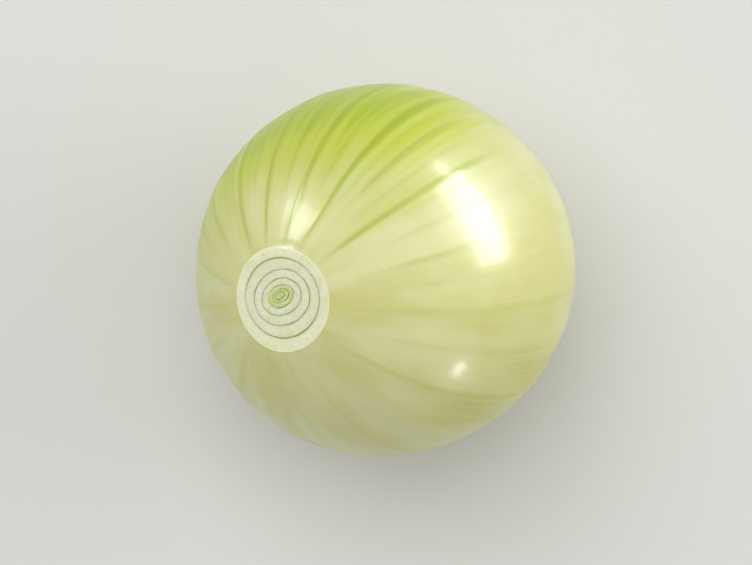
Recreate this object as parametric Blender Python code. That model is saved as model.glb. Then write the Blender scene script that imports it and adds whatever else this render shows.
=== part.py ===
"""Peeled yellow onion, leaning on the small flat spot that it rests on.

The bulb is one solid. Its outer scale, the neck cut across the rings of the scales inside,
and the trimmed root plate are turned about the bulb's own axis from one profile. Veins, lobes,
rings and root stubs are then raised from that surface by formulas, and the bulb is leaned over.

Metres, +Z up. The origin is the middle of the flat spot, straight below the bulb's weight.
"""

import math
import random

import bmesh
import bpy
from mathutils import Matrix, Vector

MM = 0.001

# The bulb in its own frame: +Z runs along its axis to the neck.
BELT_RADIUS = 33.6 * MM
HALF_LENGTH = 35.2 * MM
TAPER = 0.045
NECK_RISE = 2.6 * MM
NECK_SPREAD = 11.0 * MM
BASE_FLATTENING = 1.6 * MM
BASE_SPREAD = 15.0 * MM
NECK_CUT_ANGLE = math.radians(17.0)
ROOT_CUT_ANGLE = math.radians(14.5)
BODY_ROWS = 30
CUT_EDGE = 0.4 * MM

# Two slow waves round the bulb keep it from being a perfect globe.
OVAL_SHARE = 0.007
OVAL_LONGITUDE = math.radians(90.0)
LOBE_SHARE = 0.006
LOBE_LONGITUDE = math.radians(20.0)

# Main veins run from neck to root. Six have their own longitudes, the rest share what is left.
SET_VEINS = [math.radians(angle) for angle in (-89.7, -64.9, -49.5, -38.3, -20.0, 1.7)]
SPREAD_VEINS = 13
SPACING_JITTER = 0.28
VEIN_SEED = 11
VEIN_HEIGHT = 0.14 * MM
VEIN_FOOT = math.radians(1.0)
COLUMNS_BETWEEN_VEINS = 2
VEIN_WANDER = math.radians(1.1)

# The neck cut shows the scales inside the outer one, each thinner than the one round it.
SCALE_COUNT = 4
OUTER_SCALE = 2.3 * MM
SCALE_THINNING = 0.84
SEAM_WIDTH = 0.5 * MM
SEAM_DEPTH = 0.45 * MM
HEART_SHIFT = 0.7 * MM
HEART_STRETCH = 0.16

# The root plate is the corky disc inside the outer scale's lower edge, with whorls of cut roots.
PLATE_RADIUS = 6.1 * MM
PLATE_GROOVE = 0.5 * MM
PLATE_HEIGHT = 0.35 * MM
PLATE_ROW = 0.48 * MM
STUB_RADIUS = 0.72 * MM
STUB_HEIGHT = 0.5 * MM
STUB_WHORLS = ((4.7 * MM, 14), (2.6 * MM, 7))

# How the bulb lies: the axis leans this far from upright, towards the bearing, anticlockwise from +X.
LEAN = math.radians(31.0)
LEAN_BEARING = math.radians(196.0)
FLAT_DEPTH = 0.55 * MM

SCALE_COLOUR = (0.745, 0.735, 0.405, 1.0)
SCALE_ROUGHNESS = 0.28
MERGE_DISTANCE = 0.005 * MM
SHARP_ANGLE = math.radians(35.0)


def eased(share):
    """Smooth step from 0 to 1."""
    share = min(max(share, 0.0), 1.0)
    return share * share * (3.0 - 2.0 * share)


def outline_point(angle):
    """Radius and height of the uncut bulb at an angle from the neck end of its axis."""
    radius = BELT_RADIUS * math.sin(angle) * (1.0 - TAPER * math.cos(angle))
    height = HALF_LENGTH * math.cos(angle)
    if height > 0.0:
        height += NECK_RISE * math.exp(-((radius / NECK_SPREAD) ** 2))
    else:
        height += BASE_FLATTENING * math.exp(-((radius / BASE_SPREAD) ** 2))
    return radius, height


def seam_radii(rim):
    """Where each scale in the neck cut ends, from the outer one inwards."""
    radii = []
    radius, thickness = rim, OUTER_SCALE
    for _ in range(SCALE_COUNT):
        radius -= thickness
        thickness *= SCALE_THINNING
        radii.append(radius)
    return radii


def neck_rows():
    """The cut across the neck, from its centre out to the edge."""
    rim, height = outline_point(NECK_CUT_ANGLE)
    rows = [(0.0, height)]
    for radius in reversed(seam_radii(rim)):
        rows.append((radius - SEAM_WIDTH / 2, height))
        rows.append((radius, height - SEAM_DEPTH))
        rows.append((radius + SEAM_WIDTH / 2, height))
    rows.append((rim - CUT_EDGE, height))
    return rows


def body_rows():
    """The outer scale, from the neck cut's edge to the root cut's."""
    first, last = NECK_CUT_ANGLE, math.pi - ROOT_CUT_ANGLE
    step = (last - first) / BODY_ROWS
    rows = [outline_point(first + step * row) for row in range(BODY_ROWS + 1)]
    radius, height = rows[0]
    rows[0] = (radius, height - CUT_EDGE / 2)
    radius, height = rows[-1]
    rows[-1] = (radius, height + CUT_EDGE / 2)
    return rows


def root_rows():
    """The trimmed root end, from its edge to the centre of the root plate."""
    rim, height = outline_point(math.pi - ROOT_CUT_ANGLE)
    rows = [(rim - CUT_EDGE, height), (PLATE_RADIUS + PLATE_GROOVE, height)]
    rows.append((PLATE_RADIUS, height + PLATE_GROOVE))
    radius = PLATE_RADIUS - PLATE_GROOVE
    while radius > STUB_RADIUS:
        rows.append((radius, height - PLATE_HEIGHT))
        radius -= PLATE_ROW
    rows.append((0.0, height - PLATE_HEIGHT))
    return rows


def vein_longitudes():
    """Every main vein's longitude, in order round the bulb."""
    chance = random.Random(VEIN_SEED)
    shares = [1.0 + SPACING_JITTER * chance.uniform(-1.0, 1.0) for _ in range(SPREAD_VEINS + 1)]
    left_over = math.tau - (SET_VEINS[-1] - SET_VEINS[0])
    longitudes = list(SET_VEINS)
    for share in shares[:-1]:
        longitudes.append(longitudes[-1] + left_over * share / sum(shares))
    return longitudes


def column_longitudes(veins):
    """The mesh's columns: a foot, a crest and a foot on each vein, and the ones between veins."""
    columns = []
    for vein, after in zip(veins, veins[1:] + [veins[0] + math.tau]):
        columns += [(vein - VEIN_FOOT, 0.0), (vein, 1.0), (vein + VEIN_FOOT, 0.0)]
        gap = after - vein - 2 * VEIN_FOOT
        for place in range(1, COLUMNS_BETWEEN_VEINS + 1):
            share = place / (COLUMNS_BETWEEN_VEINS + 1)
            columns.append((vein + VEIN_FOOT + gap * share, 0.0))
    return columns


def wander(longitude, polar):
    """How far a vein strays sideways on its way down, alike for neighbours, so none cross."""
    slow = math.sin(2 * longitude + 2.0 * polar)
    quick = math.sin(5 * longitude - 3.0 * polar + 1.0)
    return VEIN_WANDER * (0.7 * slow + 0.3 * quick) * math.sin(polar)


def lobed(longitude):
    """The share by which the bulb is wider or narrower at a longitude."""
    oval = OVAL_SHARE * math.cos(2 * (longitude - OVAL_LONGITUDE))
    lobes = LOBE_SHARE * math.cos(3 * (longitude - LOBE_LONGITUDE))
    return 1.0 + oval + lobes


def stub_height(x, y):
    """How far the cut roots stand out of the root plate at a point of it."""
    radius, longitude = math.hypot(x, y), math.atan2(y, x)
    for whorl_radius, count in STUB_WHORLS:
        pitch = math.tau / count
        nearest = pitch * round(longitude / pitch)
        reach = math.hypot(
            radius * math.cos(longitude - nearest) - whorl_radius,
            radius * math.sin(longitude - nearest),
        )
        if reach < STUB_RADIUS:
            return STUB_HEIGHT * math.sqrt(1.0 - (reach / STUB_RADIUS) ** 2)
    return 0.0


def raise_relief(bulb, columns):
    """Moves the turned surface's points out to the veins, lobes, rings and stubs."""
    neck_rim, _ = outline_point(NECK_CUT_ANGLE)
    pitch = math.tau / len(columns)
    for vertex in bulb.verts:
        x, y, z = vertex.co
        radius = math.hypot(x, y)
        polar = math.atan2(radius, z)
        longitude, crest = columns[round(math.atan2(y, x) / pitch) % len(columns)]
        longitude += wander(longitude, polar)
        on_neck = z > 0.0 and radius < neck_rim - CUT_EDGE / 2
        on_plate = z < 0.0 and radius < PLATE_RADIUS - PLATE_GROOVE / 2
        if not on_plate:
            radius *= lobed(longitude)
        if not on_neck and not on_plate:
            radius += VEIN_HEIGHT * crest * eased(radius / (BELT_RADIUS / 2))
        vertex.co = Vector((radius * math.cos(longitude), radius * math.sin(longitude), z))
        if on_neck:
            inward = 1.0 - math.hypot(vertex.co.x, vertex.co.y) / neck_rim
            vertex.co.x += HEART_SHIFT * inward
            vertex.co.y *= 1.0 + HEART_STRETCH * inward
        elif on_plate:
            vertex.co.z -= stub_height(vertex.co.x, vertex.co.y)


def turn_profile(rows, steps):
    """A closed surface turned about Z from a profile that starts and ends on the axis."""
    bulb = bmesh.new()
    points = [bulb.verts.new((radius, 0.0, height)) for radius, height in rows]
    edges = [bulb.edges.new(pair) for pair in zip(points, points[1:])]
    bmesh.ops.spin(
        bulb,
        geom=points + edges,
        cent=(0.0, 0.0, 0.0),
        axis=(0.0, 0.0, 1.0),
        angle=math.tau,
        steps=steps,
        use_merge=True,
    )
    bmesh.ops.remove_doubles(bulb, verts=bulb.verts, dist=MERGE_DISTANCE)
    return bulb


def weight_centre(bulb):
    """The centre of the volume that a closed, triangulated mesh holds."""
    total, moment = 0.0, Vector()
    for face in bulb.faces:
        a, b, c = (vertex.co for vertex in face.verts)
        volume = a.dot(b.cross(c))
        total += volume
        moment += volume * (a + b + c) / 4.0
    return moment / total


def lay_down(bulb):
    """Leans the bulb over its weight, cuts the flat spot that it rests on and returns that face."""
    lean = Matrix.Rotation(-LEAN, 4, "X")
    bulb.transform(Matrix.Rotation(LEAN_BEARING - math.pi / 2, 4, "Z") @ lean)
    centre = weight_centre(bulb)
    lowest = min(vertex.co.z for vertex in bulb.verts)
    bulb.transform(Matrix.Translation((-centre.x, -centre.y, -lowest - FLAT_DEPTH)))
    every = bulb.verts[:] + bulb.edges[:] + bulb.faces[:]
    bmesh.ops.bisect_plane(
        bulb, geom=every, plane_co=(0, 0, 0), plane_no=(0, 0, -1), clear_outer=True
    )
    rim = [edge for edge in bulb.edges if edge.is_boundary]
    return bmesh.ops.contextual_create(bulb, geom=rim)["faces"][0]


def shade(bulb, flat_spot):
    """Smooth shading, apart from steep edges and the edge of the flat spot."""
    for face in bulb.faces:
        face.smooth = face is not flat_spot
    for edge in bulb.edges:
        edge.smooth = edge.calc_face_angle(0.0) < SHARP_ANGLE
    for edge in flat_spot.edges:
        edge.smooth = False


def scale_material():
    """The fleshy outer scale: smooth, moist and pale yellow-green."""
    material = bpy.data.materials.new("fleshy_scale")
    material.use_nodes = True
    shader = material.node_tree.nodes["Principled BSDF"]
    shader.inputs["Base Color"].default_value = SCALE_COLOUR
    shader.inputs["Roughness"].default_value = SCALE_ROUGHNESS
    shader.inputs["Metallic"].default_value = 0.0
    return material


def build_bulb(collection):
    """The whole peeled onion, as one object."""
    columns = column_longitudes(vein_longitudes())
    bulb = turn_profile(neck_rows() + body_rows() + root_rows(), len(columns))
    raise_relief(bulb, columns)
    bmesh.ops.triangulate(bulb, faces=bulb.faces)
    bmesh.ops.recalc_face_normals(bulb, faces=bulb.faces)
    shade(bulb, lay_down(bulb))
    mesh = bpy.data.meshes.new("onion_bulb")
    bulb.to_mesh(mesh)
    bulb.free()
    mesh.materials.append(scale_material())
    onion = bpy.data.objects.new("onion_bulb", mesh)
    collection.objects.link(onion)
    return onion


def main():
    """Clears the scene and builds the peeled onion in its own collection."""
    for leftover in list(bpy.data.objects):
        bpy.data.objects.remove(leftover)
    collection = bpy.data.collections.new("peeled_onion")
    bpy.context.scene.collection.children.link(collection)
    build_bulb(collection)


main()
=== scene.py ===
"""Peeled yellow onion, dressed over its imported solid.

The bulb leans on a small flat spot. Its outer scale is one smooth, moist skin with veins that
run from neck to root, a green flush on the side that saw the light, a neck cut across the rings
of the inner scales, and a corky root plate with cut roots.
"""

import logging
import math
import random
from dataclasses import dataclass, field
from enum import Enum
from typing import Iterable, Sequence

import bmesh
import bpy
from mathutils import Matrix, Vector, noise


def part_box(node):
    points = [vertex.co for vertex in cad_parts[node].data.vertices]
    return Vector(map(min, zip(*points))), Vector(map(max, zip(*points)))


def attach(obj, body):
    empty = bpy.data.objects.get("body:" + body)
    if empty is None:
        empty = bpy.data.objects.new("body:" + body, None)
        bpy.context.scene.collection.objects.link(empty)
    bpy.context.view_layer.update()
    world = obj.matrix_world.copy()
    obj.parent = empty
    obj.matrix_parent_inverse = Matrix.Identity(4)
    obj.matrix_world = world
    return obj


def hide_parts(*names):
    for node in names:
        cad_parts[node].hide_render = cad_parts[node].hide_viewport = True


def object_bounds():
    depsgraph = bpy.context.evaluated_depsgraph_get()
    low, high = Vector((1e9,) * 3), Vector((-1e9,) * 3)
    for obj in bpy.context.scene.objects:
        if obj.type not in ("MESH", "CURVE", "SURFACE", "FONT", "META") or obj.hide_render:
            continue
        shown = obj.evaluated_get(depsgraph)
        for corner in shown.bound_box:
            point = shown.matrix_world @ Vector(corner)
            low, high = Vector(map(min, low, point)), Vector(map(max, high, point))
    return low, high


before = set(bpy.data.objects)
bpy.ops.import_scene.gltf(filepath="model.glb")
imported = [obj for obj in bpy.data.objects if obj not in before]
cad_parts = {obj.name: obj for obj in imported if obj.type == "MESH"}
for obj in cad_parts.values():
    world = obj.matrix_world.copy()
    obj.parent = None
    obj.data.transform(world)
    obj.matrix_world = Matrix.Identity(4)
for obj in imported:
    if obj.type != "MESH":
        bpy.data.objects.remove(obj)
CAD_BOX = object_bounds()

LOG = logging.getLogger("peeled_onion")
MM = 0.001
NODE = "onion_bulb"
BODY = "root"

Row = tuple[float, float]
Colour = tuple[float, float, float, float]
Layer = tuple[object, float, float, float, object]

SKIN_READS = ("vein_reach", "vein_pull", "thin_reach", "thin_pull", "flush", "shaded_gold_mask")

EASED = {"interpolation_type": "SMOOTHSTEP"}
BLENDED = {"data_type": "RGBA"}
TIMES = {"operation": "MULTIPLY"}
TIMES_PLUS = {"operation": "MULTIPLY_ADD"}


def linear(hex_colour: str) -> Colour:
    """Turns an sRGB hex colour to the linear one that a shader takes.

    Args:
        hex_colour: Six hex digits, with or without a leading hash.

    Returns:
        Linear red, green and blue, and an alpha of 1.
    """
    digits = hex_colour.lstrip("#")
    shares = [int(digits[place : place + 2], 16) / 255.0 for place in (0, 2, 4)]
    red, green, blue = (
        share / 12.92 if share <= 0.04045 else ((share + 0.055) / 1.055) ** 2.4 for share in shares
    )
    return red, green, blue, 1.0


def eased(share: float) -> float:
    """Smooth step from 0 to 1."""
    share = min(max(share, 0.0), 1.0)
    return share * share * (3.0 - 2.0 * share)


def between(value: float, low: float, high: float) -> float:
    """Smooth step of a value that rises from low to high."""
    return eased((value - low) / (high - low))


def window(value: float, low: float, full: float, waning: float, gone: float) -> float:
    """Rises smoothly from low to full, and falls again from waning to gone."""
    return between(value, low, full) * (1.0 - between(value, waning, gone))


def add_node(
    tree: bpy.types.NodeTree,
    kind: str,
    settings: dict[str, object] | None = None,
    **sockets: object,
) -> bpy.types.Node:
    """Adds a shader node with its settings, values and links.

    Args:
        tree: The material's node tree.
        kind: The node's type name.
        settings: Properties of the node itself.
        **sockets: Values, output sockets or whole nodes, which give their first output in use.
            Each goes by the input's name or, as in_0, by its number.

    Returns:
        The new node.
    """
    node = tree.nodes.new(kind)
    for name, value in (settings or {}).items():
        setattr(node, name, value)
    for name, value in sockets.items():
        if name.startswith("in_"):
            socket = node.inputs[int(name[3:])]
        else:
            socket = node.inputs[name.replace("_", " ")]
        if isinstance(value, bpy.types.Node):
            value = next(output for output in value.outputs if output.enabled)
        if isinstance(value, bpy.types.NodeSocket):
            tree.links.new(value, socket)
        else:
            socket.default_value = value
    return node


def new_finish(
    name: str, **values: object
) -> tuple[bpy.types.Material, bpy.types.NodeTree, bpy.types.Node]:
    """Starts a finish.

    Args:
        name: The material's name.
        **values: Its shader's constant values, by input name.

    Returns:
        The material, its node tree and its shader.
    """
    finish = bpy.data.materials.new(name)
    finish.use_nodes = True
    shader = finish.node_tree.nodes["Principled BSDF"]
    for key, value in values.items():
        shader.inputs[key.replace("_", " ")].default_value = value
    return finish, finish.node_tree, shader


def lay_colours(
    tree: bpy.types.NodeTree, ground: object, layers: Iterable[Layer]
) -> bpy.types.Node:
    """Lays colours over a ground, each of them where a value is high.

    Args:
        tree: The material's node tree.
        ground: The lowest colour.
        layers: From the lowest up, each one's value, where it sets in, where it is full, how far
            it covers then, and its colour.

    Returns:
        The node that gives the finished colour.
    """
    for value, low, full, cover, colour in layers:
        ends = {"From_Min": low, "From_Max": full, "To_Max": cover}
        share = add_node(tree, "ShaderNodeMapRange", EASED, Value=value, **ends)
        ground = add_node(tree, "ShaderNodeMix", BLENDED, in_0=share, in_6=ground, in_7=colour)
    return ground


def spun(rows: Sequence[Row], steps: int) -> bmesh.types.BMesh:
    """Turns a profile that starts and ends on the axis, or closes on itself, about Z.

    Args:
        rows: Radius and height of each point, in metres.
        steps: Columns in a full turn.

    Returns:
        The closed surface.
    """
    mesh = bmesh.new()
    points = [mesh.verts.new((radius, 0.0, height)) for radius, height in rows]
    edges = [mesh.edges.new(pair) for pair in zip(points, points[1:])]
    if rows[0][0] > 0.0:
        edges.append(mesh.edges.new((points[-1], points[0])))
    bmesh.ops.spin(
        mesh,
        geom=points + edges,
        cent=(0.0, 0.0, 0.0),
        axis=(0.0, 0.0, 1.0),
        angle=math.tau,
        steps=steps,
        use_merge=True,
    )
    bmesh.ops.remove_doubles(mesh, verts=mesh.verts, dist=0.004 * MM)
    return mesh


def finish_piece(
    mesh: bmesh.types.BMesh, name: str, finishes: Iterable[bpy.types.Material]
) -> bpy.types.Object:
    """Makes an object of a mesh, ties it to the bulb's body and lets it stand for the bulb.

    Args:
        mesh: The piece, in place.
        name: The object's name.
        finishes: Its materials, in slot order.

    Returns:
        The new object.
    """
    bmesh.ops.recalc_face_normals(mesh, faces=mesh.faces)
    for face in mesh.faces:
        face.smooth = True
    data = bpy.data.meshes.new(name)
    mesh.to_mesh(data)
    mesh.free()
    for finish in finishes:
        data.materials.append(finish)
    data.set_sharp_from_angle(angle=math.radians(48.0))
    piece = bpy.data.objects.new(name, data)
    bpy.context.scene.collection.objects.link(piece)
    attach(piece, BODY)
    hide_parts(NODE)
    LOG.info("%s: %d faces", name, len(data.polygons))
    return piece


@dataclass
class BulbShape:
    """The bulb's form in its own frame, with +Z along its axis to the neck, and how it lies.

    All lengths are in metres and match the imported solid.
    """

    belt_radius: float = 33.6 * MM
    half_length: float = 35.2 * MM
    taper: float = 0.045
    neck_rise: float = 2.6 * MM
    neck_spread: float = 11.0 * MM
    base_flattening: float = 1.6 * MM
    base_spread: float = 15.0 * MM
    neck_cut_angle: float = math.radians(17.0)
    root_cut_angle: float = math.radians(14.5)
    oval_share: float = 0.007
    oval_longitude: float = math.radians(90.0)
    lobe_share: float = 0.006
    lobe_longitude: float = math.radians(20.0)
    vein_wander: float = math.radians(1.1)
    heart_shift: float = 0.7 * MM
    heart_stretch: float = 0.16
    lean: float = math.radians(31.0)
    lean_bearing: float = math.radians(196.0)
    shift: Vector = field(default_factory=Vector)

    def outline(self, angle: float) -> Row:
        """The uncut bulb's outline.

        Args:
            angle: From the neck end of its axis.

        Returns:
            Radius and height.
        """
        radius = self.belt_radius * math.sin(angle) * (1.0 - self.taper * math.cos(angle))
        height = self.half_length * math.cos(angle)
        if height > 0.0:
            height += self.neck_rise * math.exp(-((radius / self.neck_spread) ** 2))
        else:
            height += self.base_flattening * math.exp(-((radius / self.base_spread) ** 2))
        return radius, height

    def neck_edge(self) -> Row:
        """Radius and height of the neck cut's edge."""
        return self.outline(self.neck_cut_angle)

    def root_edge(self) -> Row:
        """Radius and height of the root cut's edge."""
        return self.outline(math.pi - self.root_cut_angle)

    def wander(self, longitude: float, polar: float) -> float:
        """How far a vein strays sideways on its way down, alike for neighbours, so none cross.

        Args:
            longitude: Where the vein starts.
            polar: The angle from the neck end.

        Returns:
            The angle that it strays by.
        """
        slow = math.sin(2 * longitude + 2.0 * polar)
        quick = math.sin(5 * longitude - 3.0 * polar + 1.0)
        return self.vein_wander * (0.7 * slow + 0.3 * quick) * math.sin(polar)

    def lobed(self, longitude: float) -> float:
        """How much wider the bulb is at a longitude than a round one, as a factor."""
        oval = self.oval_share * math.cos(2 * (longitude - self.oval_longitude))
        lobes = self.lobe_share * math.cos(3 * (longitude - self.lobe_longitude))
        return 1.0 + oval + lobes

    def heart_pull(self, x: float, y: float) -> tuple[float, float]:
        """Moves a point of the neck cut off centre, as the inner scales lie off the bulb's axis.

        Args:
            x: The point's x.
            y: The point's y.

        Returns:
            Its x and y once moved.
        """
        rim, _ = self.neck_edge()
        longitude = math.atan2(y, x)
        x, y = x * self.lobed(longitude), y * self.lobed(longitude)
        inward = max(0.0, 1.0 - math.hypot(x, y) / rim)
        return x + self.heart_shift * inward, y * (1.0 + self.heart_stretch * inward)

    def turn(self) -> Matrix:
        """The turn that lays the bulb's own axis over."""
        lean = Matrix.Rotation(-self.lean, 4, "X")
        return Matrix.Rotation(self.lean_bearing - math.pi / 2, 4, "Z") @ lean

    def lay(self, mesh: bmesh.types.BMesh) -> None:
        """Leans a mesh and moves it to where the bulb lies."""
        mesh.transform(Matrix.Translation(self.shift) @ self.turn())

    def settle(self, mesh: bmesh.types.BMesh) -> None:
        """Finds where the bulb lies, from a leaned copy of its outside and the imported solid's box.

        Args:
            mesh: The outer scale, leaned and not yet moved.
        """
        low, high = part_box(NODE)
        own = list(zip(*(vertex.co for vertex in mesh.verts)))
        x, y = ((low[n] + high[n] - min(own[n]) - max(own[n])) / 2 for n in (0, 1))
        self.shift = Vector((x, y, high[2] - max(own[2])))


@dataclass(frozen=True)
class Vein:
    """One main vein: where it runs, how far it can be seen, and how strongly."""

    longitude: float
    strength: float
    starts: float
    ends: float


@dataclass(frozen=True)
class VeinPlan:
    """Where the main veins run. Six are set, and the rest share what is left."""

    set_veins: tuple[tuple[float, float, float, float], ...] = (
        (-89.7, 0.45, 32.0, 74.0),
        (-64.9, 0.90, 20.0, 92.0),
        (-49.5, 0.70, 38.0, 98.0),
        (-38.3, 1.00, 18.0, 106.0),
        (-20.0, 1.00, 18.0, 104.0),
        (1.7, 0.95, 18.0, 104.0),
    )
    spread_veins: int = 13
    jitter: float = 0.28
    lit_longitude: float = math.radians(-5.0)
    faintest: float = 0.13
    lit_gain: float = 0.60
    seed: int = 11

    def veins(self) -> list[Vein]:
        """Sets the main veins and spreads the rest, stronger on the side that saw the light.

        Returns:
            Every main vein, in order round the bulb.
        """
        chance = random.Random(self.seed)
        shares = [
            1.0 + self.jitter * chance.uniform(-1.0, 1.0) for _ in range(self.spread_veins + 1)
        ]
        plan = [
            Vein(math.radians(place), strength, math.radians(starts), math.radians(ends))
            for place, strength, starts, ends in self.set_veins
        ]
        longitude = plan[-1].longitude
        left_over = math.tau - (longitude - plan[0].longitude)
        for share in shares[:-1]:
            longitude += left_over * share / sum(shares)
            lit = (0.5 + 0.5 * math.cos(longitude - self.lit_longitude)) ** 1.5
            plan.append(
                Vein(
                    longitude,
                    self.faintest + self.lit_gain * lit + chance.uniform(-0.05, 0.08),
                    math.radians(chance.uniform(16.0, 34.0)),
                    math.radians(chance.uniform(84.0, 132.0)),
                )
            )
        return plan


@dataclass(frozen=True)
class Column:
    """One column of the skin's mesh, and how it lies between two main veins.

    Angles are about the bulb's axis. Midway is the one from the thin vein in the middle of the gap.
    """

    longitude: float
    vein: Vein
    aside: float
    midway: float
    rib: float
    thin_pull: float


@dataclass(frozen=True)
class ScaleSkin:
    """Fleshy scale of an onion with its papery skins peeled off.

    Live leaf tissue full of water under a smooth wet skin: it lets light in and gives it back
    softly, so its colour has depth, and its gloss is sharp on a surface that waves a little.
    """

    cream: str = "#CFCE86"
    pale: str = "#DADBA4"
    lime: str = "#C2CC42"
    leaf_green: str = "#AABE16"
    # Darker gold-yellow for the lower side: partly the flesh's own tint, partly painted shade.
    straw: str = "#BCB957"
    vein_green: str = "#94AA08"
    # Width and length of each kind of streak in millimetres, and its detail.
    fibres: tuple[float, float, float] = (0.7, 26.0, 2.0)
    wisps: tuple[float, float, float] = (2.4, 30.0, 3.0)
    blotches: tuple[float, float, float] = (14.0, 22.4, 2.0)
    ripple: tuple[float, float, float] = (5.0, 15.0, 1.0)

    def material(self) -> bpy.types.Material:
        """Builds the finish from the skin's own attributes.

        Main veins fray along the wisps and break up in the blotches, and a wide pale green halo
        lies round each. The roughness stays in the range of a satin gloss all over.

        Returns:
            The finish.
        """
        finish, tree, shader = new_finish(
            "fleshy_onion_scale",
            IOR=1.40,
            Subsurface_Weight=0.45,
            Subsurface_Radius=(1.0, 0.85, 0.35),
            Subsurface_Scale=3.0 * MM,
            Coat_Weight=0.32,
            Coat_Roughness=0.12,
            Coat_IOR=1.36,
        )
        reach, pull, thin_reach, thin_pull, flush, shaded_gold_mask = (
            add_node(tree, "ShaderNodeAttribute", {"attribute_name": name}).outputs["Fac"]
            for name in SKIN_READS
        )
        along = add_node(tree, "ShaderNodeAttribute", {"attribute_name": "along_mm"})
        streaks = []
        for across_mm, length_mm, detail in (self.fibres, self.wisps, self.blotches, self.ripple):
            scale = (1.0 / across_mm, 1.0 / across_mm, 1.0 / length_mm)
            scaled = add_node(
                tree, "ShaderNodeVectorMath", TIMES, in_0=along.outputs["Vector"], in_1=scale
            )
            look = {"Scale": 1.0, "Detail": detail, "Roughness": 0.55}
            streaks.append(add_node(tree, "ShaderNodeTexNoise", Vector=scaled, **look))
        fibres, wisps, blotches, ripple = streaks

        swayed = []
        for value, low, high, start, end in (
            (blotches, 0.35, 0.65, 0.95, 0.60),  # patches of a darker gold-yellow, partly the flesh's own tint and partly painted shade
            (wisps, 0.25, 0.70, 0.75, 1.20),  # streaks in the green flush
            (wisps, 0.30, 0.70, 1.30, 0.75),  # a vein's width, wider and narrower
            (fibres, 0.35, 0.65, -0.12, 0.16),  # its frayed edge
            (blotches, 0.30, 0.60, 0.44, 0.66),  # its strength, in patches
            (thin_reach, -0.2, 1.5, 0.26, 0.0),  # the thin vein between two main ones
            (wisps, 0.30, 0.70, 0.29, 0.37),  # the gloss
        ):
            ends = {"From_Min": low, "From_Max": high, "To_Min": start, "To_Max": end}
            swayed.append(add_node(tree, "ShaderNodeMapRange", EASED, Value=value, **ends))
        shaded_gold, stir, spread, nibble, broken, thin, gloss = swayed
        shaded_gold = add_node(tree, "ShaderNodeMath", TIMES, in_0=shaded_gold_mask, in_1=shaded_gold)
        stirred = add_node(tree, "ShaderNodeMath", TIMES, in_0=flush, in_1=stir)
        frayed = add_node(tree, "ShaderNodeMath", TIMES_PLUS, in_0=reach, in_1=spread, in_2=nibble)
        bands = []
        for low, high, start in ((-0.1, 1.8, 1.0), (0.0, 5.0, 0.26)):  # the line, then its halo
            ends = {"From_Min": low, "From_Max": high, "To_Min": start, "To_Max": 0.0}
            band = add_node(tree, "ShaderNodeMapRange", EASED, Value=frayed, **ends)
            bands.append(add_node(tree, "ShaderNodeMath", TIMES, in_0=band, in_1=pull))
        line, halo = bands
        thin = add_node(tree, "ShaderNodeMath", TIMES, in_0=thin, in_1=thin_pull)
        line = add_node(tree, "ShaderNodeMath", TIMES, in_0=line, in_1=broken)
        line = add_node(tree, "ShaderNodeMath", {"operation": "MAXIMUM"}, in_0=line, in_1=thin)

        pale, lime = linear(self.pale), linear(self.lime)
        base = lay_colours(tree, linear(self.cream), [(blotches, 0.35, 0.68, 1.0, pale)])
        straw = linear(self.straw)
        # Painted shade mixed with the flesh's own gold-yellow tint, darker low on one side.
        base = add_node(tree, "ShaderNodeMix", BLENDED, in_0=shaded_gold, in_6=base, in_7=straw)
        streak = lay_colours(tree, pale, [(stirred, 0.2, 0.9, 1.0, lime)])
        coloured = lay_colours(
            tree,
            base,
            [
                (stirred, 0.0, 0.62, 1.0, lime),
                (stirred, 0.55, 1.0, 1.0, linear(self.leaf_green)),
                (fibres, 0.42, 0.72, 0.22, streak),
            ],
        )
        for share, over in ((halo, lime), (line, linear(self.vein_green))):
            coloured = add_node(
                tree, "ShaderNodeMix", BLENDED, in_0=share, in_6=coloured, in_7=over
            )
        tree.links.new(coloured.outputs[2], shader.inputs["Base Color"])

        relief = add_node(tree, "ShaderNodeMath", TIMES_PLUS, in_0=fibres, in_1=0.03, in_2=ripple)
        bump = add_node(tree, "ShaderNodeBump", Strength=0.5, Distance=0.25 * MM, Height=relief)
        tree.links.new(bump.outputs["Normal"], shader.inputs["Normal"])
        tree.links.new(gloss.outputs["Result"], shader.inputs["Roughness"])
        return finish


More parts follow.
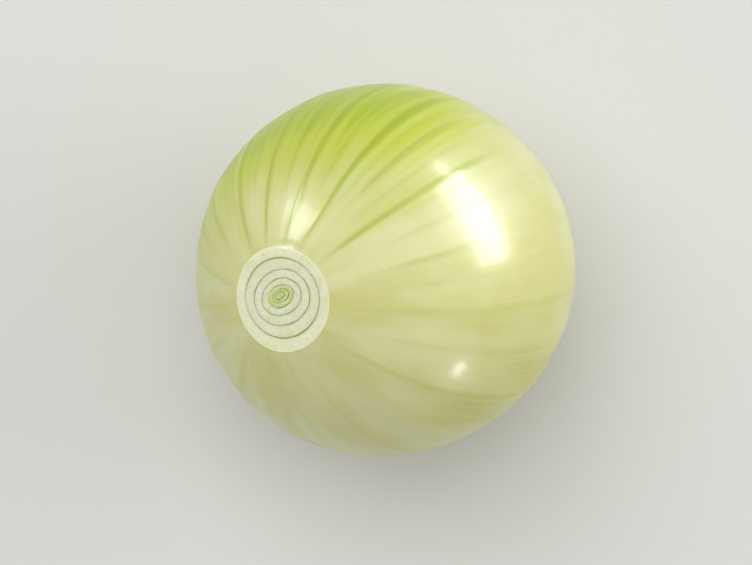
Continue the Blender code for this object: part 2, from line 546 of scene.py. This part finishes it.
@dataclass(frozen=True)
class CutFlesh:
    """A fleshy scale cut across: wet, pale and grained round the bulb.

    The knife opens juicy cells, so the cut shines in small facets and lets more light in than
    the skin does. Each scale's two skins show as thin greener lines, and the vein threads that
    run down it as a row of small dots.
    """

    flesh: str = "#F1F0D2"
    shade: str = "#E5E8BC"
    skin_line: str = "#C2CC7C"
    thread: str = "#BDCB78"
    name: str = "cut_onion_flesh"
    cell_mm: float = 0.55
    cloud_mm: float = 2.6

    def material(self) -> bpy.types.Material:
        """Builds the finish, greener towards the skins of each ring, and returns it."""
        finish, tree, shader = new_finish(
            self.name,
            Roughness=0.30,
            IOR=1.40,
            Subsurface_Weight=0.6,
            Subsurface_Radius=(1.0, 0.9, 0.45),
            Subsurface_Scale=1.6 * MM,
            Coat_Weight=0.5,
            Coat_Roughness=0.10,
        )
        place = add_node(tree, "ShaderNodeTexCoord").outputs["Object"]
        edge, thread = (
            add_node(tree, "ShaderNodeAttribute", {"attribute_name": name}).outputs["Fac"]
            for name in ("skin_near", "thread")
        )
        cells, clouds = (
            add_node(
                tree, "ShaderNodeTexNoise", Vector=place, Scale=1.0 / (size_mm * MM), Detail=detail
            )
            for size_mm, detail in ((self.cell_mm, 2.0), (self.cloud_mm, 3.0))
        )
        frayed = add_node(tree, "ShaderNodeMath", TIMES_PLUS, in_0=cells, in_1=0.5, in_2=edge)
        coloured = lay_colours(
            tree,
            linear(self.flesh),
            [
                (clouds, 0.32, 0.70, 0.85, linear(self.shade)),
                (frayed, 0.55, 1.10, 0.45, linear(self.shade)),
                (thread, 0.45, 0.95, 0.75, linear(self.thread)),
                (frayed, 0.98, 1.35, 0.90, linear(self.skin_line)),
            ],
        )
        tree.links.new(coloured.outputs[2], shader.inputs["Base Color"])
        bump = add_node(tree, "ShaderNodeBump", Strength=0.45, Distance=0.10 * MM, Height=cells)
        tree.links.new(bump.outputs["Normal"], shader.inputs["Normal"])
        return finish


@dataclass(frozen=True)
class CorkyPlate:
    """The squat stem under a bulb, trimmed flat: dry, corky and fibrous, so it takes no gloss."""

    tan: str = "#B79A63"
    brown: str = "#7C6238"
    cream: str = "#DCCB9A"
    fibre_mm: float = 0.45
    mottle_mm: float = 1.6

    def material(self) -> bpy.types.Material:
        """Builds the finish, fibrous and mottled, and returns it."""
        finish, tree, shader = new_finish("corky_root_plate", Roughness=0.82, IOR=1.45)
        place = add_node(tree, "ShaderNodeTexCoord").outputs["Object"]
        mottle, fibres = (
            add_node(
                tree, "ShaderNodeTexNoise", Vector=place, Scale=1.0 / (size_mm * MM), Detail=detail
            )
            for size_mm, detail in ((self.mottle_mm, 4.0), (self.fibre_mm, 3.0))
        )
        colours = add_node(tree, "ShaderNodeValToRGB", Fac=mottle)
        ramp = colours.color_ramp
        ramp.elements[0].position, ramp.elements[0].color = 0.36, linear(self.brown)
        ramp.elements[1].position, ramp.elements[1].color = 0.66, linear(self.cream)
        ramp.elements.new(0.5).color = linear(self.tan)
        tree.links.new(colours.outputs["Color"], shader.inputs["Base Color"])
        bump = add_node(tree, "ShaderNodeBump", Strength=0.7, Distance=0.2 * MM, Height=fibres)
        tree.links.new(bump.outputs["Normal"], shader.inputs["Normal"])
        return finish


@dataclass(frozen=True)
class CutRoot:
    """Thin white roots cut short, which dry to straw at the cut round a darker thread."""

    straw: str = "#E2D6AE"
    thread: str = "#8C7040"

    def material(self) -> bpy.types.Material:
        """Builds the finish, with the thread where the attribute core is high, and returns it."""
        finish, tree, shader = new_finish("cut_root", Roughness=0.7, IOR=1.45)
        core = add_node(tree, "ShaderNodeAttribute", {"attribute_name": "core"}).outputs["Fac"]
        straw, thread = linear(self.straw), linear(self.thread)
        colours = add_node(tree, "ShaderNodeMix", BLENDED, in_0=core, in_6=straw, in_7=thread)
        tree.links.new(colours.outputs[2], shader.inputs["Base Color"])
        return finish


THREAD_PITCH = 1.7 * MM
THREAD_RADIUS = 0.5 * MM
THREAD_STRAY = 0.25 * MM


def threads(radius: float, longitude: float, inner: float, outer: float, seed: int) -> float:
    """How near a point of a cut scale is to one of the vein threads in it.

    Args:
        radius: The point's distance from the bulb's axis.
        longitude: Its longitude.
        inner: The scale's inner radius.
        outer: The scale's outer radius.
        seed: Shifts the threads of one scale against those of the next.

    Returns:
        One in the middle of a thread and nothing beyond its radius.
    """
    middle = inner + (outer - inner) * 0.56
    count = max(3, round(math.tau * middle / THREAD_PITCH))
    number = round((longitude + seed) / math.tau * count)
    stray = noise.noise(Vector((number % count, 3.7 * seed, 0.5)))
    aside = math.remainder(longitude + seed - math.tau * (number + 0.3 * stray) / count, math.tau)
    off = math.hypot(aside * middle, radius - middle - THREAD_STRAY * stray)
    return max(0.0, 1.0 - off / THREAD_RADIUS)


@dataclass
class OuterScale:
    """The outside of the bulb: one closed skin from neck cut to root cut, with room for both."""

    shape: BulbShape
    plan: VeinPlan = field(default_factory=VeinPlan)
    columns_between: int = 15
    body_rows: int = 112
    rim_width: float = 2.3 * MM
    recess: float = 0.32 * MM
    neck_bulge: float = 0.34 * MM
    root_recess: float = 0.6 * MM
    edge: float = 0.35 * MM
    root_rim: float = 2.3 * MM
    vein_height: float = 0.11 * MM
    vein_half_width: float = 0.55 * MM
    rib_height: float = 0.05 * MM
    dent_depth: float = 0.22 * MM
    dent_size: float = 19.0 * MM
    # Degrees round the bulb or down from the neck, for each where it rises and where it falls.
    flush_round: tuple[float, ...] = (-82.0, -14.0, 15.0, 105.0)
    thin_veins_down: tuple[float, ...] = (26.0, 44.0, 58.0, 92.0)
    low_veins_down: tuple[float, ...] = (90.0, 124.0, 146.0, 164.0)
    low_vein_pull: float = 0.32
    # Where the darker gold-yellow lies, low on one side: partly the flesh's own tint, partly painted
    # shade.
    shaded_gold_down: tuple[float, ...] = (38.0, 88.0, 118.0, 158.0)
    shaded_gold_middle: float = -140.0
    shaded_gold_half_width: float = 40.0

    def profile(self) -> list[Row]:
        """The turned profile, from the neck recess over the body to the root recess."""
        neck_rim, neck_height = self.shape.neck_edge()
        root_rim, root_height = self.shape.root_edge()
        inner = neck_rim - self.rim_width
        rows = [
            (0.0, neck_height + self.neck_bulge - self.recess),
            (inner * 0.5, neck_height + self.neck_bulge * 0.5 - self.recess),
            (inner, neck_height - self.recess),
            (inner, neck_height - self.edge / 2),
            (inner + self.edge / 6, neck_height - self.edge / 6),
            (inner + self.edge / 2, neck_height),
        ]
        flat = self.rim_width - self.edge
        rows += [(inner + flat * step / 7, neck_height) for step in range(1, 8)]
        rows.append((neck_rim - self.edge * 0.3, neck_height - self.edge * 0.12))
        first, last = self.shape.neck_cut_angle, math.pi - self.shape.root_cut_angle
        pitch = (last - first) / self.body_rows
        body = [self.shape.outline(first + pitch * row) for row in range(self.body_rows + 1)]
        body[0] = (body[0][0] + self.edge * 0.05, body[0][1] - self.edge * 0.5)
        body[-1] = (body[-1][0], body[-1][1] + self.edge * 0.5)
        inner = root_rim - self.root_rim
        return [
            *rows,
            *body,
            (root_rim - self.edge * 0.3, root_height + self.edge * 0.12),
            (root_rim - self.edge, root_height),
            (inner + self.edge / 2, root_height),
            (inner, root_height + self.edge / 2),
            (inner, root_height + self.root_recess),
            (0.0, root_height + self.root_recess),
        ]

    def columns(self, veins: Sequence[Vein]) -> list[Column]:
        """Lays out the skin's columns, with one on each main vein and one midway to the next.

        Args:
            veins: The main veins, in order.

        Returns:
            Every column, in order.
        """
        places = []
        for vein, after in zip(veins, veins[1:] + veins[:1]):
            gap = (after.longitude - vein.longitude) % math.tau
            for step in range(self.columns_between + 1):
                share = step / (self.columns_between + 1)
                nearest, aside = (vein, share) if share <= 0.5 else (after, share - 1.0)
                places.append(
                    Column(
                        longitude=vein.longitude + gap * share,
                        vein=nearest,
                        aside=gap * aside,
                        midway=gap * (share - 0.5),
                        rib=0.5 * math.cos(math.tau * share),
                        thin_pull=(vein.strength + after.strength) / 2,
                    )
                )
        return places

    def painted(self, column: Column, polar: float, radius: float) -> dict[str, float]:
        """What the skin's finish reads at a point.

        The flesh is greenest at the shoulder of the side that saw the light. Low down on the other
        side it turns a darker gold-yellow, partly its own tint and partly painted shade.

        Args:
            column: The point's column.
            polar: Its angle from the neck end of the axis.
            radius: Its distance from the axis.

        Returns:
            A value for each attribute, by name.
        """
        vein, tilt = column.vein, math.degrees(polar)
        turned = math.degrees(math.remainder(column.longitude, math.tau))
        off_shaded_gold = abs(math.remainder(turned - self.shaded_gold_middle, 360.0))
        shoulder = (0.12 + 0.88 * between(tilt, 24.0, 72.0)) * (1.0 - between(tilt, 84.0, 132.0))
        width_mm = 0.42 + 0.40 * between(tilt, 20.0, 72.0)
        seen = window(polar, vein.starts - 0.12, vein.starts + 0.16, vein.ends - 0.45, vein.ends)
        low_down = self.low_vein_pull * window(tilt, *self.low_veins_down)
        return {
            "vein_reach": abs(column.aside) * radius / MM / width_mm,
            "vein_pull": max(vein.strength * seen, low_down),
            "thin_reach": abs(column.midway) * radius / MM / width_mm,
            "thin_pull": column.thin_pull * window(tilt, *self.thin_veins_down),
            "flush": window(turned, *self.flush_round) * shoulder,
            # Darker gold-yellow low on one side, partly painted shade.
            "shaded_gold_mask": (1.0 - between(off_shaded_gold, 4.0, self.shaded_gold_half_width))
            * window(tilt, *self.shaded_gold_down),
        }

    def lift(self, place: Vector, column: Column, radius: float, pull: float) -> float:
        """How far a point of the skin stands out: over a vein, on a rib between veins, on a wave.

        Args:
            place: The point before it moves.
            column: Its column.
            radius: Its distance from the axis.
            pull: How strongly the vein shows there.

        Returns:
            The height, below nothing in a dent.
        """
        fade = between(radius, 0.25 * self.shape.belt_radius, 0.7 * self.shape.belt_radius)
        crest = math.exp(-((column.aside * radius / self.vein_half_width) ** 2))
        vein = self.vein_height * crest * (0.4 + 0.6 * pull)
        dent = self.dent_depth * noise.noise(place / self.dent_size)
        return (vein + self.rib_height * column.rib) * fade + dent

    def build(self) -> bpy.types.Object:
        """Turns the skin, raises its veins, ribs and dents, and cuts the flat spot."""
        columns = self.columns(self.plan.veins())
        mesh = spun(self.profile(), len(columns))
        along = mesh.verts.layers.float_vector.new("along_mm")
        layers = {
            name: mesh.verts.layers.float.new(name)
            for name in (*SKIN_READS, "skin_near", "thread")
        }
        neck_rim, _ = self.shape.neck_edge()
        root_rim, _ = self.shape.root_edge()
        for face in mesh.faces:
            centre = face.calc_center_median()
            rim = neck_rim if centre.z > 0.0 else root_rim
            if math.hypot(centre.x, centre.y) < rim - self.edge * 0.5:
                face.material_index = 1
        pitch = math.tau / len(columns)
        belt_mm = self.shape.belt_radius / MM
        for vertex in mesh.verts:
            x, y, z = vertex.co
            radius = math.hypot(x, y)
            polar = math.atan2(radius, z)
            column = columns[round(math.atan2(y, x) / pitch) % len(columns)]
            own = column.longitude
            longitude = own + self.shape.wander(own, polar)
            for name, value in self.painted(column, polar, radius).items():
                vertex[layers[name]] = value
            vertex[along] = belt_mm * Vector((math.cos(own), math.sin(own), polar))
            if z > 0.0 and radius < neck_rim - self.edge * 0.6:
                middle = neck_rim - self.rim_width / 2
                vertex[layers["skin_near"]] = min(1.0, abs(radius - middle) / (self.rim_width / 2))
                vertex[layers["thread"]] = threads(
                    radius, own, neck_rim - self.rim_width, neck_rim, 0
                )
                vertex.co.x, vertex.co.y = self.shape.heart_pull(
                    radius * math.cos(longitude), radius * math.sin(longitude)
                )
                continue
            if z > 0.0 or radius >= root_rim - self.edge * 0.6:
                radius *= self.shape.lobed(longitude)
                lift = self.lift(vertex.co, column, radius, vertex[layers["vein_pull"]])
                swell = lift / math.hypot(radius, z)
                radius, z = radius * (1.0 + swell), z * (1.0 + swell)
            vertex.co = Vector((radius * math.cos(longitude), radius * math.sin(longitude), z))
        mesh.transform(self.shape.turn())
        self.shape.settle(mesh)
        mesh.transform(Matrix.Translation(self.shape.shift))
        bmesh.ops.bisect_plane(
            mesh,
            geom=mesh.verts[:] + mesh.edges[:] + mesh.faces[:],
            plane_co=(0.0, 0.0, 0.0),
            plane_no=(0.0, 0.0, -1.0),
            clear_outer=True,
        )
        rim = [edge for edge in mesh.edges if edge.is_boundary]
        bmesh.ops.contextual_create(mesh, geom=rim)
        finishes = [ScaleSkin().material(), CutFlesh().material()]
        return finish_piece(mesh, "outer_scale", finishes)


@dataclass
class NeckCut:
    """The rings of the inner scales where the neck is cut across, and the shoot in the middle."""

    shape: BulbShape
    outer_scale: float = 2.3 * MM
    widths: tuple[float, ...] = (1.95 * MM, 1.60 * MM, 1.30 * MM, 0.82 * MM, 0.60 * MM)
    gap: float = 0.02 * MM
    gap_opening: float = 0.14 * MM
    depth: float = 1.3 * MM
    corner: float = 0.09 * MM
    steps: int = 168
    lift: float = 0.07 * MM
    wave: float = 0.12 * MM
    seam_wobble: float = 0.16 * MM
    heart_oval: float = 0.30
    heart_growth: float = 0.45
    heart_turn: float = 0.35

    def seam(self, number: int, longitude: float) -> float:
        """How far the seam outside a ring strays from its circle at a longitude."""
        way = Vector((math.cos(longitude), math.sin(longitude), 2.7 * number))
        return self.seam_wobble * (noise.noise(way) + 0.4 * noise.noise(way * 3.0))

    def opening(self, number: int, longitude: float) -> float:
        """How wide the seam outside a ring gapes at a longitude."""
        way = Vector((1.3 * math.cos(longitude), 1.3 * math.sin(longitude), 5.1 * number + 9.0))
        return self.gap + self.gap_opening * between(noise.noise(way), 0.0, 0.7)

    def place(self, radius: float, longitude: float) -> tuple[float, float]:
        """Where a point of the cut ends up, off centre and oval, more so towards the middle.

        Args:
            radius: The point's distance from the axis.
            longitude: Its longitude.

        Returns:
            Its x and y.
        """
        rim, _ = self.shape.neck_edge()
        x, y = self.shape.heart_pull(radius * math.cos(longitude), radius * math.sin(longitude))
        inward = max(0.0, 1.0 - radius / rim)
        turned = self.heart_turn * inward
        squeeze = self.heart_oval * inward * inward
        shift = self.shape.heart_shift * inward
        across = (x - shift) * math.cos(turned) + y * math.sin(turned)
        along = y * math.cos(turned) - (x - shift) * math.sin(turned)
        across, along = across * (1.0 - squeeze), along * (1.0 + self.heart_growth * squeeze)
        return (
            shift + across * math.cos(turned) - along * math.sin(turned),
            across * math.sin(turned) + along * math.cos(turned),
        )

    def ring_profile(self, inner: float, outer: float, top: float) -> list[Row]:
        """A ring's cross-section, round at its upper corners and sunk into the recess.

        Args:
            inner: The ring's inner radius.
            outer: Its outer radius.
            top: The height of its cut face.

        Returns:
            The section's points.
        """
        bottom = top - self.depth
        corner = min(self.corner, (outer - inner) * 0.24)
        bend = [
            (corner * (1.0 - math.cos(turn)), top - corner * (1.0 - math.sin(turn)))
            for turn in (math.pi / 2 * step / 4 for step in range(5))
        ]
        rows = [(inner, bottom), (outer, bottom)]
        rows += [(outer - aside, height) for aside, height in bend]
        for step in range(1, 6):
            share = step / 6
            crown = 0.05 * MM * math.sin(math.pi * share)
            rows.append((outer - corner - (outer - inner - 2 * corner) * share, top + crown))
        rows += [(inner + aside, height) for aside, height in reversed(bend)]
        return rows

    def build_ring(
        self, number: int, inner: float, outer: float, finish: bpy.types.Material
    ) -> bpy.types.Object:
        """One scale's cut end.

        Args:
            number: Its place, counted inwards from 1.
            inner: Its inner radius.
            outer: Its outer radius.
            finish: The cut flesh.

        Returns:
            The ring.
        """
        _, height = self.shape.neck_edge()
        top = height + self.lift * (number - 0.6)
        mesh = spun(self.ring_profile(inner, outer, top), self.steps)
        near = mesh.verts.layers.float.new("skin_near")
        thread = mesh.verts.layers.float.new("thread")
        middle, half = (inner + outer) / 2, (outer - inner) / 2
        for vertex in mesh.verts:
            x, y, z = vertex.co
            radius, longitude = math.hypot(x, y), math.atan2(y, x)
            share = (radius - inner) / (outer - inner)
            vertex[near] = min(1.0, abs(radius - middle) / half)
            vertex[thread] = threads(radius, longitude, inner, outer, number)
            low = inner + self.seam(number + 1, longitude)
            high = outer + self.seam(number, longitude) - self.opening(number, longitude)
            x, y = self.place(low + (high - low) * share, longitude)
            if z > height - 0.5 * MM:
                slow = noise.noise(Vector((math.cos(longitude), math.sin(longitude), 3.1 * number)))
                quick = noise.noise(Vector((x, y, 7.0 * number * MM)) / (1.5 * MM))
                z += self.wave * (slow + 0.4 * quick)
            vertex.co = Vector((x, y, z))
        self.shape.lay(mesh)
        return finish_piece(mesh, f"neck_ring_{number}", [finish])

    def build_shoot(self, outer: float, finish: bpy.types.Material) -> bpy.types.Object:
        """The youngest leaf in the middle, rolled round a slit.

        Args:
            outer: Its radius.
            finish: The flesh of a young shoot.

        Returns:
            The shoot.
        """
        number = len(self.widths) + 1
        _, height = self.shape.neck_edge()
        top = height + self.lift * (number - 0.6)
        section = ((0.0, -0.22), (0.16, -0.20), (0.30, -0.04), (0.5, 0.03), (0.75, 0.0))
        section += ((0.93, -0.08), (1.0, -0.25))
        rows = [(outer * share, top + rise_mm * MM) for share, rise_mm in section]
        rows += [(outer, top - self.depth), (0.0, top - self.depth)]
        mesh = spun(rows, 72)
        near = mesh.verts.layers.float.new("skin_near")
        for vertex in mesh.verts:
            x, y, z = vertex.co
            radius, longitude = math.hypot(x, y), math.atan2(y, x)
            vertex[near] = max(1.0 - radius / outer * 3.0, radius / outer, 0.0)
            slit = 1.0 + 1.6 * (1.0 - min(1.0, radius / (outer * 0.5))) * math.cos(longitude) ** 2
            radius = radius - self.opening(number, longitude) * radius / outer
            radius += self.seam(number, longitude) * radius / outer
            x, y = self.place(radius * slit, longitude)
            vertex.co = Vector((x, y, z))
        self.shape.lay(mesh)
        return finish_piece(mesh, "neck_shoot", [finish])

    def build(self) -> list[bpy.types.Object]:
        """All rings, from the outer one inwards, and the shoot."""
        rim, _ = self.shape.neck_edge()
        flesh = CutFlesh(name="cut_inner_flesh").material()
        young = CutFlesh(
            name="cut_young_flesh", flesh="#E2E7AE", shade="#CFDC86", skin_line="#B4C55E"
        ).material()
        outer = rim - self.outer_scale
        pieces = []
        for number, width in enumerate(self.widths, start=1):
            finish = flesh if number < 4 else young
            pieces.append(self.build_ring(number, outer - width, outer, finish))
            outer -= width
        pieces.append(self.build_shoot(outer, young))
        return pieces


@dataclass
class RootPlate:
    """The corky plate inside the outer scale's lower edge, with whorls of cut roots."""

    shape: BulbShape
    radius: float = 6.1 * MM
    stand: float = 0.35 * MM
    depth: float = 1.6 * MM
    steps: int = 96
    whorls: tuple[tuple[float, int], ...] = (
        (5.1 * MM, 22),
        (3.8 * MM, 16),
        (2.5 * MM, 10),
        (1.2 * MM, 5),
    )
    root_radius: float = 0.42 * MM
    buried: float = 0.6 * MM
    seed: int = 5

    def build_plate(self) -> bpy.types.Object:
        """The plate itself: a low rough dome, torn at its rim."""
        _, height = self.shape.root_edge()
        rows = [(self.radius * share, -self.depth) for share in (0.0, 0.5, 1.0)]
        rows.append((self.radius, 0.0))
        rows += [(self.radius * step / 22, self.stand) for step in range(21, -1, -1)]
        mesh = spun(rows, self.steps)
        for vertex in mesh.verts:
            x, y, z = vertex.co
            if z > -self.depth / 2:
                rough = noise.noise(Vector((x, y, 0.0)) / (1.1 * MM))
                ridges = math.cos(math.tau * math.hypot(x, y) / (1.3 * MM))
                z += 0.14 * MM * rough + 0.05 * MM * ridges
            vertex.co = Vector((x, y, height - z))
        self.shape.lay(mesh)
        return finish_piece(mesh, "root_plate", [CorkyPlate().material()])

    def build_roots(self) -> bpy.types.Object:
        """Every cut root, each a short stub that leans a little outwards."""
        _, height = self.shape.root_edge()
        chance = random.Random(self.seed)
        mesh = bmesh.new()
        core = mesh.verts.layers.float.new("core")
        for whorl, count in self.whorls:
            for number in range(count):
                bearing = math.tau * (number + chance.uniform(-0.22, 0.22)) / count + whorl / MM
                reach = whorl + chance.uniform(-0.22, 0.22) * MM
                radius = self.root_radius * chance.uniform(0.75, 1.15)
                length = chance.uniform(0.55, 1.15) * MM
                first = len(mesh.verts)
                made = bmesh.ops.create_cone(
                    mesh,
                    cap_ends=True,
                    segments=12,
                    radius1=radius * 1.12,
                    radius2=radius,
                    depth=length + self.buried,
                )["verts"]
                top = {vertex for vertex in made if vertex.co.z > 0.0}
                cap = next(
                    face for face in next(iter(top)).link_faces if top.issuperset(face.verts)
                )
                for size, drop in ((0.78, 0.03 * MM), (0.40, -0.05 * MM)):
                    bmesh.ops.inset_individual(
                        mesh, faces=[cap], thickness=radius * (1.0 - size) * 0.45, depth=0.0
                    )
                    for vertex in cap.verts:
                        vertex.co.z += drop
                for vertex in cap.verts:
                    vertex[core] = 1.0
                mesh.verts.ensure_lookup_table()
                splay = Matrix.Rotation(chance.uniform(0.05, 0.35), 4, "Y")
                rise = -height + self.stand + (length - self.buried) / 2
                place = Matrix.Translation((0.0, 0.0, rise))
                spin = Matrix.Rotation(bearing, 4, "Z")
                slide = Matrix.Translation((reach, 0.0, 0.0))
                bmesh.ops.transform(
                    mesh, matrix=place @ spin @ slide @ splay, verts=mesh.verts[first:]
                )
        mesh.transform(Matrix.Diagonal((1.0, 1.0, -1.0, 1.0)))
        self.shape.lay(mesh)
        return finish_piece(mesh, "cut_roots", [CutRoot().material()])

    def build(self) -> list[bpy.types.Object]:
        """The plate and its roots."""
        return [self.build_plate(), self.build_roots()]


class LightJob(Enum):
    """What a light is there for."""

    FILL = "lights the flesh and the floor, with no gleam of its own"
    GLEAM = "is mirrored in the moist skin and lights nothing else"


@dataclass(frozen=True)
class Softbox:
    """A soft studio light that faces the bulb."""

    name: str
    job: LightJob
    direction: tuple[float, float, float]
    distance: float
    size: tuple[float, float]
    power: float
    roll: float = 0.0

    def build(self, target: Vector) -> bpy.types.Object:
        """Hangs the light and aims it.

        Args:
            target: The point that it faces.

        Returns:
            The light.
        """
        data = bpy.data.lights.new(self.name, "AREA")
        data.shape = "RECTANGLE"
        data.size, data.size_y = self.size
        data.energy = self.power
        light = bpy.data.objects.new(self.name, data)
        bpy.context.scene.collection.objects.link(light)
        away = Vector(self.direction).normalized()
        light.location = target + away * self.distance
        aim = (-away).to_track_quat("-Z", "Y").to_matrix().to_4x4()
        light.rotation_euler = (aim @ Matrix.Rotation(self.roll, 4, "Z")).to_euler()
        light.visible_camera = False
        light.visible_glossy = self.job is LightJob.GLEAM
        light.visible_diffuse = self.job is LightJob.FILL
        return light


@dataclass
class Studio:
    """A pale seamless floor, soft light all round, and a camera straight above."""

    paper: str = "#DCDCD8"
    paper_tooth: float = 0.8 * MM
    floor_half: float = 3.0
    floor_fade: tuple[float, float] = (0.40, 1.60)
    camera_height: float = 0.80
    photo_width: int = 752
    photo_height: int = 565
    onion_width_px: float = 380.0
    onion_at_px: tuple[float, float] = (386.0, 270.0)
    horizon: float = 0.50
    sky_slope: float = 1.4
    bright_way: tuple[float, float, float] = (0.08, 0.14, 0.04)
    lights: tuple[Softbox, ...] = (
        Softbox("window_right", LightJob.GLEAM, (0.83, 0.435, 0.35), 0.55, (0.48, 0.20), 6.2),
        Softbox("window_bar", LightJob.GLEAM, (0.52, 0.80, 0.20), 0.55, (0.16, 0.05), 0.6),
        Softbox("window_left", LightJob.GLEAM, (-0.626, 0.692, 0.358), 0.70, (0.12, 0.26), 2.0),
        Softbox("glint_low", LightJob.GLEAM, (0.62, -0.78, 0.06), 0.70, (0.06, 0.06), 0.40),
        Softbox("overhead", LightJob.FILL, (-0.25, 0.35, 0.90), 1.00, (0.90, 0.90), 5.6),
        Softbox("side_right", LightJob.FILL, (0.93, 0.20, 0.20), 0.80, (0.50, 0.50), 3.1),
    )

    def build_floor(self) -> bpy.types.Object:
        """A large sheet of matt pale paper that melts into the surround far from the onion."""
        mesh = bmesh.new()
        bmesh.ops.create_grid(mesh, x_segments=2, y_segments=2, size=self.floor_half)
        data = bpy.data.meshes.new("studio_floor")
        mesh.to_mesh(data)
        mesh.free()
        finish, tree, shader = new_finish(
            "matt_studio_paper",
            Base_Color=linear(self.paper),
            Roughness=0.9,
            Specular_IOR_Level=0.0,
        )
        place = add_node(tree, "ShaderNodeTexCoord").outputs["Object"]
        tooth = add_node(
            tree, "ShaderNodeTexNoise", Vector=place, Scale=1.0 / self.paper_tooth, Detail=2.0
        )
        bump = add_node(tree, "ShaderNodeBump", Strength=0.05, Distance=0.02 * MM, Height=tooth)
        tree.links.new(bump.outputs["Normal"], shader.inputs["Normal"])
        far = add_node(tree, "ShaderNodeVectorMath", {"operation": "LENGTH"}, in_0=place)
        share = add_node(
            tree,
            "ShaderNodeMapRange",
            EASED,
            Value=far,
            From_Min=self.floor_fade[0],
            From_Max=self.floor_fade[1],
        )
        clear = add_node(tree, "ShaderNodeBsdfTransparent")
        melted = add_node(tree, "ShaderNodeMixShader", in_0=share, in_1=shader, in_2=clear)
        tree.links.new(melted.outputs["Shader"], tree.nodes["Material Output"].inputs["Surface"])
        data.materials.append(finish)
        floor = bpy.data.objects.new("studio_floor", data)
        bpy.context.scene.collection.objects.link(floor)
        return floor

    def build_world(self) -> None:
        """Soft light from all round, a little brighter overhead than at the horizon."""
        world = bpy.data.worlds.new("soft_surround")
        bpy.context.scene.world = world
        world.use_nodes = True
        tree = world.node_tree
        background = tree.nodes["Background"]
        way = add_node(tree, "ShaderNodeTexCoord").outputs["Generated"]
        split = add_node(tree, "ShaderNodeSeparateXYZ", Vector=way)
        towards = add_node(
            tree,
            "ShaderNodeVectorMath",
            {"operation": "DOT_PRODUCT"},
            in_0=way,
            in_1=self.bright_way,
        )
        rise = add_node(
            tree,
            "ShaderNodeMath",
            {"operation": "MULTIPLY", "use_clamp": True},
            in_0=split.outputs["Z"],
            in_1=self.sky_slope,
        )
        total = add_node(
            tree, "ShaderNodeMath", TIMES_PLUS, in_0=rise, in_1=towards, in_2=self.horizon
        )
        tree.links.new(total.outputs["Value"], background.inputs["Strength"])
        background.inputs["Color"].default_value = (1.0, 1.0, 1.0, 1.0)

    def build_camera(self, low: Vector, high: Vector) -> bpy.types.Object:
        """Looks straight down with +Y up in the picture, as the photograph does.

        Args:
            low: The onion's lowest corner.
            high: Its highest corner.

        Returns:
            The camera.
        """
        middle = (low + high) / 2
        data = bpy.data.cameras.new("straight_down")
        data.sensor_width = 36.0
        away = self.camera_height - middle.z
        span = (high.x - low.x) * self.photo_width / self.onion_width_px
        data.lens = data.sensor_width * away / span
        metres_per_px = span / self.photo_width
        aside = self.onion_at_px[0] - self.photo_width / 2
        up = self.photo_height / 2 - self.onion_at_px[1]
        camera = bpy.data.objects.new("straight_down", data)
        bpy.context.scene.collection.objects.link(camera)
        camera.location = (
            middle.x - aside * metres_per_px,
            middle.y - up * metres_per_px,
            self.camera_height,
        )
        data.clip_start, data.clip_end = 0.05, 30.0
        bpy.context.scene.camera = camera
        return camera

    def build(self, low: Vector, high: Vector) -> None:
        """Floor, surround, lights and camera, placed by the onion's box."""
        self.build_floor()
        self.build_world()
        target = (low + high) / 2
        for light in self.lights:
            light.build(target)
        self.build_camera(low, high)
        bpy.context.scene.view_settings.view_transform = "Standard"


def main() -> None:
    """Builds the onion's pieces in order, then the studio."""
    logging.basicConfig(level=logging.INFO, format="%(name)s: %(message)s")
    shape = BulbShape()
    OuterScale(shape).build()
    NeckCut(shape).build()
    RootPlate(shape).build()
    Studio().build(*CAD_BOX)


if __name__ == "__main__":
    main()
